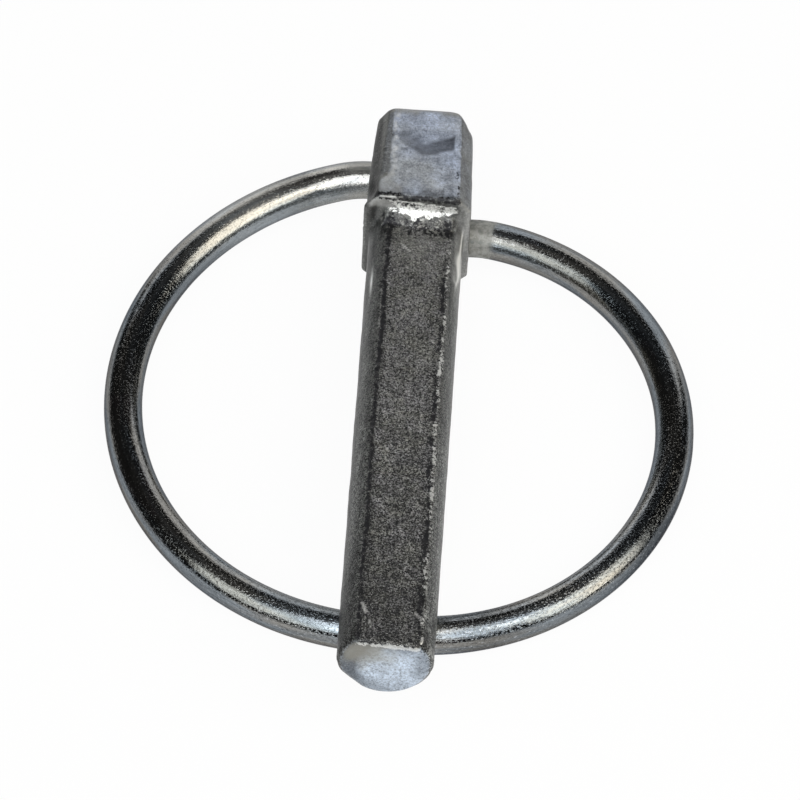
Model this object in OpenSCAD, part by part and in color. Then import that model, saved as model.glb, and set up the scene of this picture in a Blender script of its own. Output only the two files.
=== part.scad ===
// Lynch pin: a forged pin with a flat along its shank, and a spring wire ring
// whose two ends sit in offset cross holes in the head. It lies on its back,
// on the foot of the ring and the back of the head, with the tip toward -Y.

/* [Shank] */
// Diameter of the round shank
shank_d = 10; // [8:0.1:12]
// Length of the shank, from the shoulder under the head to the tip
shank_l = 57.5; // [52:0.5:75]
// Depth of the flat along the front of the shank
flat_cut = 1.4; // [0.8:0.1:1.4]
// Fillet where the flat runs into the shoulder
flat_fillet = 0.9; // [0.4:0.1:1.2]
// Fillet where the round of the shank meets the shoulder
root_fillet = 0.5; // [0.2:0.05:0.5]
// Bevel round the tip
tip_bevel = 0.65; // [0.2:0.05:0.8]
// Bevel along the end of the flat
flat_bevel = 0.25; // [0.1:0.05:0.4]
// Depth of the sheared corner at the back of the tip
shear_cut = 0.95; // [0.85:0.05:1.8]
// Direction of the sheared corner, from the right side and over the front, in degrees
shear_turn = 228; // [200:2:340]

/* [Head] */
// How far the head stands out past the shank at each side
side_ledge = 0.65; // [0.6:0.05:1.5]
// How far the head stands out past the shank at its front and back
face_ledge = 1.6; // [1.2:0.1:2.4]
// Draft of the left side of the head, in degrees
left_draft = 3.4; // [1:0.2:4]
// Draft of the right side of the head, in degrees
right_draft = 1.8; // [1:0.2:4]
// Slant of the top of the head, down to the right, in degrees
top_slant = 2.2; // [0:0.2:3]
// Width of the facet at each front corner
facet_w = 1.4; // [1:0.1:2]
// Depth of the facet at each front corner
facet_d = 1.9; // [1.2:0.1:2.4]
// Bevel at each back corner
back_bevel = 1.1; // [0.6:0.1:1.6]
// Bevel along the front and the back of the top of the head
rim_bevel = 0.9; // [0.5:0.1:1]
// Width of the bevel at the top left corner of the head
corner_w = 1.8; // [0.8:0.1:2.2]
// Height of the bevel at the top left corner of the head
corner_h = 0.8; // [0.6:0.1:1]
// Width of the knocked corner at the top right of the head
knock_w = 1.9; // [1.2:0.1:2.2]
// Height of the knocked corner at the top right of the head
knock_h = 1.9; // [1.2:0.1:3]
// Metal left between the low hole and the shoulder
low_wall = 1; // [0.6:0.1:2]
// Metal left between the high hole and the top of the head
top_wall = 1.1; // [1.1:0.1:2.5]
// Turn of the head about the axis of the pin, as it lies in its ring, in degrees
head_turn = 3; // [0:0.5:5]
// Twist of the shank and its flat past the head, in degrees
flat_twist = 4; // [0:0.5:5]

/* [Ring] */
// Diameter of the spring wire
wire_d = 4; // [3:0.1:4.4]
// Length of the ring, from its high end to the middle of its foot
ring_l = 57.8; // [54:0.1:64]
// Distance between the two ends, measured along the ring
end_step = 7.2; // [6:0.1:8]
// How far the straight foot of the ring reaches to the left of the pin
foot_left = 0.5; // [0.1:0.1:1.5]
// How far the straight foot of the ring reaches to the right of the pin
foot_right = 2.7; // [2:0.1:4]
// Bend radius where each end turns into the head
end_bend = 10; // [6:0.5:12]
// How deep each end sits in the head
end_reach = 5; // [3:0.1:5.2]
// How far the low end sits behind the axis of the pin
end_back = 3; // [2.4:0.1:3.4]

/* [Clearances] */
// Running clearance of the wire in its holes, on the radius
bore_clear = 0.05; // [0.02:0.01:0.1]
// Depth left between each end of the wire and the bottom of its hole
end_clear = 0.3; // [0.1:0.1:0.6]
// Straight wire between the side of the head and the bend
bend_clear = 0.2; // [0.1:0.1:0.6]
// Gap between the foot of the ring and the back of the shank
foot_gap = 0.65; // [0.6:0.05:1.4]

/* [Hidden] */
$fn = 96;
// How far a cutting shape runs past what it cuts
over = 1;
// How far the ball between two bends of the wire stands out past the wire
join_rise = 0.01;

shank_r = shank_d / 2;
wire_r = wire_d / 2;
bore_r = wire_r + bore_clear;
flat_z = shank_r - flat_cut;

// The head: X across, Y up from the shoulder, Z to the front, from the axis of the pin
half_w = shank_r + side_ledge;
face_z = shank_r + face_ledge;
end_x = half_w - end_reach;
bend_x = half_w + bend_clear;

// The ring in its own plane: X across, Y from the middle of the foot toward the head.
// Each half is an arc that meets the foot and the end bend without a kink.
function half_radius(height, reach) =
    let (rise = height - 2 * end_bend) end_bend + (rise * rise + reach * reach) / (2 * rise);
high_end = ring_l;
low_end = ring_l - end_step;

// The foot lies behind the shank, so the ring leans back from its ends to its foot
foot_z = -(shank_r + foot_gap + wire_r);
ring_lean = asin((-end_back - foot_z) / low_end);
low_y = low_wall + bore_r;
high_y = low_y + end_step * cos(ring_lean);
high_z = -end_back + end_step * sin(ring_lean);
foot_y = low_y - low_end * cos(ring_lean);
head_h = high_y + bore_r + top_wall;

// Half widths of the head to the left and right of the axis, at a height above the shoulder
function left_w(y) = half_w - y * tan(left_draft);
function right_w(y) = half_w - y * tan(right_draft);
// Height of the slanted top of the head, which is highest at its left corner
function top_y(x) = head_h - (x + left_w(head_h)) * tan(top_slant);
// The knocked corner runs from the right side up to the top
knock_y = top_y(right_w(head_h)) - knock_h;
knock_x = right_w(head_h) - knock_w;

// At rest the foot of the ring and the head touch the floor: the head does so
// where its knocked corner meets the bevel at the back of its top
rest_y = head_h - rim_bevel;
rest_x = lookup(rest_y, [[knock_y, right_w(knock_y)], [top_y(knock_x), knock_x]]);
rest_z = -face_z * cos(head_turn) - rest_x * sin(head_turn);
to_foot = [rest_y - foot_y, rest_z - foot_z];
lie_angle = asin(wire_r / norm(to_foot)) + atan2(to_foot[1], to_foot[0]);

// The origin is on the floor, under the middle of the whole part
left_edge = -foot_left - half_radius(high_end, bend_x - foot_left) - wire_r;
right_edge = foot_right + half_radius(low_end, bend_x - foot_right) + wire_r;
top_edge = head_h * cos(lie_angle) + (face_z - rim_bevel) * sin(lie_angle);
tip_edge = -shank_l * cos(lie_angle) - (shank_r - tip_bevel) * sin(lie_angle);
floor_z = foot_z * cos(lie_angle) - foot_y * sin(lie_angle) - wire_r;

module at_rest() {
    translate([-(left_edge + right_edge) / 2, -(top_edge + tip_edge) / 2, -floor_z])
        rotate([-lie_angle, 0, 0])
            children();
}

// The outline of a cut across the corner at the origin, which points to +X and +Y
module corner_outline(x_leg, y_leg) {
    polygon([
        [over, -y_leg * (1 + over / x_leg)],
        [over, over],
        [-x_leg * (1 + over / y_leg), over]
    ]);
}

// The round shank with its tip bevel and root fillet, from inside the head to the tip
module round_shank() {
    rotate([90, 0, 0]) rotate_extrude() {
        translate([0, -over]) square([shank_r, over + shank_l - tip_bevel]);
        translate([0, shank_l - tip_bevel])
            polygon([[0, 0], [shank_r, 0], [shank_r - tip_bevel, tip_bevel], [0, tip_bevel]]);
        difference() {
            translate([0, -over]) square([shank_r + root_fillet, over + root_fillet]);
            translate([shank_r + root_fillet, root_fillet]) circle(root_fillet);
        }
    }
}

// What the flat takes off the front of the shank, with its fillet at the shoulder.
// The outline runs from the shoulder to past the tip, and up from the flat.
module flat_space() {
    depth = face_z + over;
    translate([0, 0, flat_z]) rotate([90, 0, -90]) linear_extrude(4 * shank_r, center = true) {
        translate([flat_fillet, 0]) square([shank_l + over - flat_fillet, depth]);
        translate([0, flat_fillet]) square([2 * flat_fillet, depth - flat_fillet]);
        translate([flat_fillet, flat_fillet]) circle(flat_fillet);
    }
}

// The bevel at the end of the flat
module flat_end_space() {
    translate([0, -shank_l, flat_z]) rotate([90, 0, -90])
        linear_extrude(4 * shank_r, center = true)
            corner_outline(flat_bevel, flat_bevel);
}

// The corner of the tip that the shears pressed away
module shear_space() {
    rotate([90, 0, 0]) rotate([0, 0, shear_turn]) translate([shank_r, 0, shank_l])
        rotate([90, 0, 0]) linear_extrude(4 * shank_r, center = true)
            corner_outline(shear_cut, shear_cut);
}

// The head from the front, as a block: tapered sides, the knocked corner
// at the top right, the slanted top and the bevelled corner at the top left
module front_form() {
    left_x = corner_w - left_w(head_h);
    left_y = head_h - corner_h;
    linear_extrude(2 * face_z, center = true)
        polygon([
            [-half_w, 0],
            [half_w, 0],
            [right_w(knock_y), knock_y],
            [knock_x, top_y(knock_x)],
            [left_x, top_y(left_x)],
            [-left_w(left_y), left_y]
        ]);
}

// The head from the side, as a block with its front and back top edges bevelled
module side_form() {
    rotate([90, 0, 90]) linear_extrude(4 * half_w, center = true)
        polygon([
            [0, -face_z],
            [head_h - rim_bevel, -face_z],
            [head_h, rim_bevel - face_z],
            [head_h, face_z - rim_bevel],
            [head_h - rim_bevel, face_z],
            [0, face_z]
        ]);
}

// A cut along the front right corner of the head, which leans with the draft there
module corner_space(draft, x_leg, z_leg) {
    translate([half_w, 0, face_z]) rotate([0, 0, draft]) rotate([90, 0, 0])
        linear_extrude(4 * head_h, center = true)
            corner_outline(x_leg, z_leg);
}

module head() {
    difference() {
        intersection() {
            front_form();
            side_form();
        }
        corner_space(right_draft, facet_w, facet_d);
        mirror([1, 0, 0]) corner_space(left_draft, facet_w, facet_d);
        mirror([0, 0, 1]) corner_space(right_draft, back_bevel, back_bevel);
        rotate([0, 180, 0]) corner_space(left_draft, back_bevel, back_bevel);
    }
}

module forging() {
    head();
    rotate([0, flat_twist, 0]) difference() {
        round_shank();
        flat_space();
        flat_end_space();
        shear_space();
    }
}

// A blind cross hole that opens to the right, for an end of the ring
module end_hole(y, z) {
    translate([end_x - end_clear, y, z]) rotate([0, 90, 0]) cylinder(r = bore_r, h = 2 * half_w);
}

module forged_pin() {
    color([0.47, 0.48, 0.49]) at_rest() difference() {
        rotate([0, head_turn, 0]) forging();
        end_hole(low_y, -end_back);
        mirror([1, 0, 0]) end_hole(high_y, high_z);
    }
}

// The right half of the ring: its arc, the bend into the head and the straight end.
// A ball joins the arc to the bend, because the two surfaces only touch there.
module half_ring(foot, height) {
    radius = half_radius(height, bend_x - foot);
    bend_angle = asin((bend_x - foot) / (radius - end_bend));
    translate([foot, radius, 0]) rotate_extrude(angle = 180 - bend_angle, start = -90)
        translate([radius, 0]) circle(wire_r);
    translate([bend_x, height - end_bend, 0]) {
        rotate_extrude(angle = bend_angle, start = 90 - bend_angle)
            translate([end_bend, 0]) circle(wire_r);
        rotate([0, 0, 90 - bend_angle]) translate([end_bend, 0, 0]) sphere(wire_r + join_rise);
    }
    translate([end_x, height, 0]) rotate([0, 90, 0]) cylinder(r = wire_r, h = bend_x - end_x);
}

module spring_ring() {
    color([0.66, 0.68, 0.69]) at_rest() translate([0, foot_y, foot_z]) rotate([ring_lean, 0, 0]) {
        half_ring(foot_right, low_end);
        mirror([1, 0, 0]) half_ring(foot_left, high_end);
        translate([-foot_left, 0, 0]) rotate([0, 90, 0])
            cylinder(r = wire_r, h = foot_left + foot_right);
    }
}

forged_pin();
spring_ring();
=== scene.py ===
"""A forged lynch pin with its spring wire ring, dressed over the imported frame."""

import logging
import math
from dataclasses import dataclass, field
from enum import Enum, IntEnum

import bmesh
import bpy
import numpy as np
from mathutils import Euler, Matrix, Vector


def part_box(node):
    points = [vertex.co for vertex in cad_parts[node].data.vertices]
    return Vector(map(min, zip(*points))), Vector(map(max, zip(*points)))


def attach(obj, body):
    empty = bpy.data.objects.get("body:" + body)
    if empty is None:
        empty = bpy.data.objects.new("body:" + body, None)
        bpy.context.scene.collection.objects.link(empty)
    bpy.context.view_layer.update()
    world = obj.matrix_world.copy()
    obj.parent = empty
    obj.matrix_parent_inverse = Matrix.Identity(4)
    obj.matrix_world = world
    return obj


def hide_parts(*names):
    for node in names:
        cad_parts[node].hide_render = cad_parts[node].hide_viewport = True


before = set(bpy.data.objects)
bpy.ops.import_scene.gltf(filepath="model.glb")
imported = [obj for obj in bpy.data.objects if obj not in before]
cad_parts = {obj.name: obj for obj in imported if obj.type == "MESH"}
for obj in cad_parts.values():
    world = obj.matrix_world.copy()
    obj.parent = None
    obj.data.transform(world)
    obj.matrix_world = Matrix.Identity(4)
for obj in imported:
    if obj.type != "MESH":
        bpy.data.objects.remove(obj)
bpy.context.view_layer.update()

LOG = logging.getLogger("lynch_pin")
MM = 0.001


class Body(Enum):
    """The bodies of the frame that pieces ride on."""

    PIN = "pin"
    RING = "ring"


class Mask(Enum):
    """What a mesh carries as point attributes.

    The first ones say how strongly a region shows, where 1 is in full. The last three are places
    on the wire, in millimetres: along it, and across and up from its middle.
    """

    FLAT = "flat"
    HEAD_FACE = "head_face"
    DENT = "dent"
    TIP_FACE = "tip_face"
    BURR = "burr"
    CREVICE = "crevice"
    EDGE = "edge"
    HOLLOW = "hollow"
    SCRATCH = "scratch"
    STEP_HIGHLIGHT = "step"
    SHADE_AND_DARKENING = "shade_and_darkening"
    HEAD = "head"
    STAIN = "stain"
    HIGHLIGHT = "shine"
    ROOT = "root"
    COARSE = "coarse"
    SEAM_SHADE = "seam"
    COOL = "cool"
    ALONG = "along"
    ROUND_X = "round_x"
    ROUND_Y = "round_y"


class Axis(IntEnum):
    """The axes that the forging is worked in."""

    ACROSS = 0
    UP = 1
    OUT = 2


def smooth_step(value: np.ndarray, low: float, high: float) -> np.ndarray:
    """Fades from 0 to 1 between two values.

    Args:
        value: The values to grade.
        low: Where the fade starts; it may lie above high.
        high: Where the fade ends.

    Returns:
        The grades, each from 0 to 1.
    """
    t = np.clip((value - low) / (high - low), 0.0, 1.0)
    return t * t * (3.0 - 2.0 * t)


def ridge(value: np.ndarray, centre: float | np.ndarray, width: float) -> np.ndarray:
    """Gives a soft bump across a line.

    Args:
        value: The place of each point across the line, in millimetres.
        centre: Where the line lies.
        width: Half the width of the bump, in millimetres.

    Returns:
        1 on the line, falling to 0 away from it.
    """
    return np.exp(-(((value - centre) / width) ** 2))


def beside(
    place: np.ndarray, line: tuple[tuple[float, float], ...]
) -> tuple[np.ndarray, np.ndarray]:
    """Finds how far points lie from a drawn line.

    Args:
        place: The points, across and up, one row each.
        line: The corners of the line.

    Returns:
        The distance of each point, and the share of the line walked at its nearest place.
    """
    away, share = np.full(len(place), np.inf), np.zeros(len(place))
    for leg, (start, stop) in enumerate(zip(line, line[1:])):
        a, b = np.array(start), np.array(stop)
        t = np.clip((place - a) @ (b - a) / ((b - a) @ (b - a)), 0.0, 1.0)
        far = np.linalg.norm(place - a - t[:, None] * (b - a), axis=1)
        share = np.where(far < away, (leg + t) / (len(line) - 1), share)
        away = np.minimum(away, far)
    return away, share


@dataclass(frozen=True)
class Patch:
    """A soft patch of skin, in millimetres.

    Each fade gives an axis, where the patch starts to show and where it shows in full. Each line
    gives an axis, the middle of the patch and its half width.
    """

    strength: float
    fades: tuple[tuple[Axis, float, float], ...] = ()
    lines: tuple[tuple[Axis, float, float], ...] = ()

    def on(self, places: np.ndarray) -> np.ndarray:
        """Finds how strongly the patch shows.

        Args:
            places: The vertices in the axes that the patch is given in, one row each.

        Returns:
            The mask, from 0 to the patch's strength.
        """
        found = np.full(len(places), self.strength)
        for axis, start, full in self.fades:
            found *= smooth_step(places[:, axis], start, full)
        for axis, middle, width in self.lines:
            found *= ridge(places[:, axis], middle, width)
        return found


class Grain:
    """A smooth random field in three dimensions, the same on every run."""

    SIDE = 64
    LAYER_SHIFT = 17.3

    def __init__(self, seed: int) -> None:
        """Fills the lattice.

        Args:
            seed: The number that fixes the field.
        """
        self.table = np.random.default_rng(seed).random((self.SIDE,) * 3) * 2.0 - 1.0

    def at(self, points: np.ndarray, size: float | tuple[float, float, float]) -> np.ndarray:
        """Reads the field.

        Args:
            points: Places in millimetres, one row each.
            size: The size of its grains, in millimetres, in all directions or one each.

        Returns:
            One value from -1 to 1 for each point.
        """
        scaled = points / np.asarray(size, float)
        cell = np.floor(scaled).astype(int)
        part = scaled - cell
        part = part * part * (3.0 - 2.0 * part)
        total = np.zeros(len(points))
        for corner in np.ndindex(2, 2, 2):
            weight = np.prod(np.where(corner, part, 1.0 - part), axis=1)
            spot = (cell + corner) % self.SIDE
            total += weight * self.table[spot[:, 0], spot[:, 1], spot[:, 2]]
        return total

    def rough(self, points: np.ndarray, size: float, layers: int) -> np.ndarray:
        """Adds finer and finer layers of the field.

        Args:
            points: Places in millimetres, one row each.
            size: The size of the coarsest grains, in millimetres.
            layers: How many layers are added, each half the size of the last.

        Returns:
            One value for each point, mostly from -1 to 1.
        """
        return sum(
            self.at(points + self.LAYER_SHIFT * n, size / 2**n) / 2**n for n in range(layers)
        )


@dataclass(frozen=True)
class Lie:
    """How the part lies on the floor: its tilt in radians and its shift in millimetres."""

    tilt: float = math.radians(2.73448)
    shift: tuple[float, float, float] = (0.80825, 22.00795, 7.38301)

    def to_frame(self, points: np.ndarray) -> np.ndarray:
        """Moves points from the axes of the upright pin to the frame.

        Args:
            points: Places in the axes of the pin, one row each.

        Returns:
            The same places in the frame.
        """
        c, s = math.cos(self.tilt), math.sin(self.tilt)
        x, y, z = points.T
        return np.stack([x, c * y + s * z, c * z - s * y], axis=1) + self.shift

    def to_pin(self, points: np.ndarray, turn: float) -> np.ndarray:
        """Moves points from the frame to the axes of the pin.

        Args:
            points: Places in the frame, one row each.
            turn: The turn of the wanted axes about the pin's length, in degrees.

        Returns:
            The places as X across, Y up from the shoulder and Z out to the front.
        """
        c, s = math.cos(self.tilt), math.sin(self.tilt)
        x, y, z = (points - self.shift).T
        y, z = c * y - s * z, s * y + c * z
        c, s = math.cos(math.radians(turn)), math.sin(math.radians(turn))
        return np.stack([c * x - s * z, y, s * x + c * z], axis=1)


class Surface:
    """A mesh under work, in millimetres in the frame, with its masks."""

    def __init__(self, points: np.ndarray, faces: np.ndarray) -> None:
        """Keeps the mesh and finds its edges.

        Args:
            points: The vertices, one row each.
            faces: The four corners of each face.
        """
        self.points = points
        self.faces = faces
        self.masks: dict[Mask, np.ndarray] = {}
        pairs = np.concatenate([faces[:, [k, (k + 1) % 4]] for k in range(4)])
        self.pairs = np.unique(np.sort(pairs, axis=1), axis=0)
        self.counts = np.bincount(self.pairs.ravel(), minlength=len(points))

    def around(self, values: np.ndarray) -> np.ndarray:
        """Averages a value over each vertex's neighbours.

        Args:
            values: One row or number for each vertex.

        Returns:
            The averages, in the same form.
        """
        first, second = self.pairs.T
        columns = values.reshape(len(values), -1).T
        size = len(values)
        total = [
            np.bincount(first, column[second], size) + np.bincount(second, column[first], size)
            for column in columns
        ]
        return (np.stack(total, axis=1) / self.counts[:, None]).reshape(values.shape)

    def relax(self, rounds: int, share: np.ndarray | float) -> None:
        """Smooths the mesh.

        Args:
            rounds: How many times each vertex moves.
            share: How far it moves toward the middle of its neighbours each time.
        """
        amount = np.broadcast_to(share, len(self.points))[:, None]
        for _ in range(rounds):
            self.points = self.points + amount * (self.around(self.points) - self.points)

    def normals(self) -> np.ndarray:
        """Works out the vertex normals.

        Returns:
            One unit row for each vertex.
        """
        a, b, c, d = (self.points[self.faces[:, k]] for k in range(4))
        across = np.cross(c - a, d - b)
        found = np.zeros_like(self.points)
        for k in range(4):
            for axis in range(3):
                found[:, axis] += np.bincount(
                    self.faces[:, k], across[:, axis], len(self.points)
                )
        return found / np.maximum(np.linalg.norm(found, axis=1, keepdims=True), 1e-9)

    def mark_edges(self, spread: int, full: float) -> None:
        """Marks raised edges and hollows.

        Args:
            spread: How many rounds the marks are softened by.
            full: The hump, in millimetres, that counts as a full edge.
        """
        hump = ((self.points - self.around(self.points)) * self.normals()).sum(1)
        for _ in range(spread):
            hump = 0.5 * hump + 0.5 * self.around(hump)
        self.masks[Mask.EDGE] = np.clip(hump / full, 0.0, 1.0)
        self.masks[Mask.HOLLOW] = np.clip(-hump / full, 0.0, 1.0)

    def keep_in(self, node: str) -> None:
        """Keeps every vertex inside the box of a CAD node.

        Args:
            node: The name of the node.
        """
        low, high = (np.array(corner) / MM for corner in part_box(node))
        self.points = np.clip(self.points, low, high)

    def to_object(self, name: str) -> bpy.types.Object:
        """Makes the Blender object.

        Args:
            name: The name of the piece.

        Returns:
            The object, with its masks as point attributes.
        """
        mesh = bpy.data.meshes.new(name)
        mesh.from_pydata((self.points * MM).tolist(), [], self.faces.tolist())
        mesh.validate()
        mesh.shade_smooth()
        for mask, values in self.masks.items():
            layer = mesh.attributes.new(mask.value, "FLOAT", "POINT")
            layer.data.foreach_set("value", values.astype(np.float32))
        piece = bpy.data.objects.new(name, mesh)
        bpy.context.scene.collection.objects.link(piece)
        return piece


class Nodes:
    """A node tree being put together."""

    def __init__(self, tree: bpy.types.NodeTree) -> None:
        """Takes the tree that the nodes go in.

        Args:
            tree: The tree.
        """
        self.tree = tree

    def feed(self, socket: bpy.types.NodeSocket, value: object) -> None:
        """Links an output to a socket, or sets the socket to a plain value.

        Args:
            socket: The socket that takes the value.
            value: The output or the plain value.
        """
        if isinstance(value, bpy.types.NodeSocket):
            self.tree.links.new(value, socket)
        else:
            socket.default_value = value

    def node(
        self, kind: str, inputs: dict[str | int, object], **settings: object
    ) -> bpy.types.Node:
        """Adds a node.

        Args:
            kind: The type of the node.
            inputs: A value or another node's output for each named input.
            **settings: The node's own settings.

        Returns:
            The node.
        """
        made = self.tree.nodes.new(kind)
        for setting, value in settings.items():
            setattr(made, setting, value)
        for key, value in inputs.items():
            self.feed(made.inputs[key], value)
        return made

    def calc(self, operation: str, first: object, second: object) -> bpy.types.NodeSocket:
        """Joins two numbers by an operation."""
        return self.node("ShaderNodeMath", {0: first, 1: second}, operation=operation).outputs[0]

    def times(self, product: object, *factors: object) -> bpy.types.NodeSocket:
        """Multiplies numbers.

        Args:
            product: The first number.
            *factors: What it is multiplied by, in turn.

        Returns:
            The product.
        """
        for factor in factors:
            product = self.calc("MULTIPLY", product, factor)
        return product


class Draft(Nodes):
    """A finish being put together, with one method for each step that a maker would name."""

    TORN_BORDER = (0.38, 0.58)
    TORN_FOOT = (0.05, 0.25)
    LINE_REACH = 2.2
    LINE_CREST = (0.76, 0.88)

    def __init__(self, name: str) -> None:
        """Starts the material.

        Args:
            name: The name of the material.
        """
        self.material = bpy.data.materials.new(name)
        self.material.use_nodes = True
        super().__init__(self.material.node_tree)
        self.shader = self.tree.nodes["Principled BSDF"]

    def place(self) -> bpy.types.NodeSocket:
        """Gives the place on the piece, in millimetres."""
        found = self.node("ShaderNodeTexCoord", {}).outputs["Object"]
        return self.node(
            "ShaderNodeVectorMath", {0: found, "Scale": 1.0 / MM}, operation="SCALE"
        ).outputs["Vector"]

    def mask(self, mask: Mask) -> bpy.types.NodeSocket:
        """Gives a mask of the mesh."""
        return self.node("ShaderNodeAttribute", {}, attribute_name=mask.value).outputs["Fac"]

    def vector(self, x: object, y: object, z: object) -> bpy.types.NodeSocket:
        """Joins three numbers to a vector."""
        return self.node("ShaderNodeCombineXYZ", {"X": x, "Y": y, "Z": z}).outputs["Vector"]

    def stretched(
        self, vector: bpy.types.NodeSocket, factors: tuple[float, float, float]
    ) -> bpy.types.NodeSocket:
        """Scales a vector by one factor for each axis."""
        return self.node(
            "ShaderNodeVectorMath", {0: vector, 1: factors}, operation="MULTIPLY"
        ).outputs["Vector"]

    def noise(
        self, vector: bpy.types.NodeSocket, size: float, layers: float, rough: float = 0.5
    ) -> bpy.types.NodeSocket:
        """Adds a noise.

        Args:
            vector: The place that it is read at.
            size: The size of its grains, in the vector's units.
            layers: How many finer layers it has.
            rough: How strong the finer layers are.

        Returns:
            Values round 0.5.
        """
        return self.node(
            "ShaderNodeTexNoise",
            {"Vector": vector, "Scale": 1.0 / size, "Detail": layers, "Roughness": rough},
        ).outputs["Fac"]

    def grade(
        self,
        value: bpy.types.NodeSocket,
        low: float,
        high: float,
        start: float = 0.0,
        end: float = 1.0,
    ) -> bpy.types.NodeSocket:
        """Maps a range of values to another, and holds it there.

        Args:
            value: The value to map.
            low: The value that gives start.
            high: The value that gives end.
            start: What low gives.
            end: What high gives.

        Returns:
            The mapped value.
        """
        return self.node(
            "ShaderNodeMapRange",
            {"Value": value, 1: low, 2: high, 3: start, 4: end},
            clamp=True,
        ).outputs["Result"]

    def fade(self, mask: bpy.types.NodeSocket, start: float, end: float) -> bpy.types.NodeSocket:
        """Gives start where a mask is 0 and end where it is 1."""
        return self.grade(mask, 0.0, 1.0, start, end)

    def ragged(
        self, mask: bpy.types.NodeSocket, grain: bpy.types.NodeSocket, reach: float
    ) -> bpy.types.NodeSocket:
        """Breaks the border of a mask with a noise.

        Args:
            mask: The mask.
            grain: The noise, round 0.5.
            reach: How strongly the noise moves the border.

        Returns:
            The mask with a torn border.
        """
        moved = self.times(self.calc("SUBTRACT", grain, 0.5), reach)
        torn = self.grade(self.calc("ADD", mask, moved), *self.TORN_BORDER)
        return self.times(torn, self.grade(mask, *self.TORN_FOOT))

    def line(
        self, mask: bpy.types.NodeSocket, grain: bpy.types.NodeSocket
    ) -> bpy.types.NodeSocket:
        """Draws a thin broken line along the crest of a wide mask.

        Args:
            mask: The mask, which rises to 1 at the middle of the line.
            grain: The noise that breaks the line, round 0.5.

        Returns:
            The line, from 0 to 1.
        """
        moved = self.times(self.calc("SUBTRACT", grain, 0.5), self.LINE_REACH)
        return self.grade(self.calc("ADD", mask, moved), *self.LINE_CREST)

    def colour(
        self, amount: object, first: object, second: object, kind: str = "MIX"
    ) -> bpy.types.NodeSocket:
        """Mixes two colours.

        Args:
            amount: How much of the second shows, from 0 to 1.
            first: A colour or a colour output.
            second: A colour or a colour output.
            kind: How they mix.

        Returns:
            The mixed colour.
        """
        made = self.node("ShaderNodeMix", {0: amount}, data_type="RGBA", blend_type=kind)
        for key, value in ((6, first), (7, second)):
            linked = isinstance(value, bpy.types.NodeSocket)
            self.feed(made.inputs[key], value if linked else (*value, 1.0))
        return made.outputs[2]

    def coats(self, colour: object, *layers: tuple[object, object]) -> bpy.types.NodeSocket:
        """Lays coats over a colour, one after the other.

        Args:
            colour: The colour underneath.
            *layers: For each coat, how much it covers and its colour.

        Returns:
            The colour that shows.
        """
        for amount, coat in layers:
            colour = self.colour(amount, colour, coat)
        return colour

    def shaded(self, colour: object, shade: bpy.types.NodeSocket) -> bpy.types.NodeSocket:
        """Multiplies a colour by a number."""
        return self.colour(1.0, colour, self.vector(shade, shade, shade), "MULTIPLY")

    def bump(
        self, height: bpy.types.NodeSocket, depth: float, under: object = None
    ) -> bpy.types.NodeSocket:
        """Raises the surface by a height.

        Args:
            height: The height, from 0 to 1.
            depth: How far a height of 1 stands out, in millimetres.
            under: The normal of a coarser bump that this one lies on.

        Returns:
            The new normal.
        """
        inputs = {"Height": height, "Distance": depth * MM, "Strength": 1.0}
        if under is not None:
            inputs["Normal"] = under
        return self.node("ShaderNodeBump", inputs).outputs["Normal"]

    def finish(self, **sockets: object) -> bpy.types.Material:
        """Sets the shader's sockets.

        Args:
            **sockets: A value or an output for each, with _ for a space.

        Returns:
            The material.
        """
        for name, value in sockets.items():
            self.feed(self.shader.inputs[name.replace("_", " ")], value)
        return self.material


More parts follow.
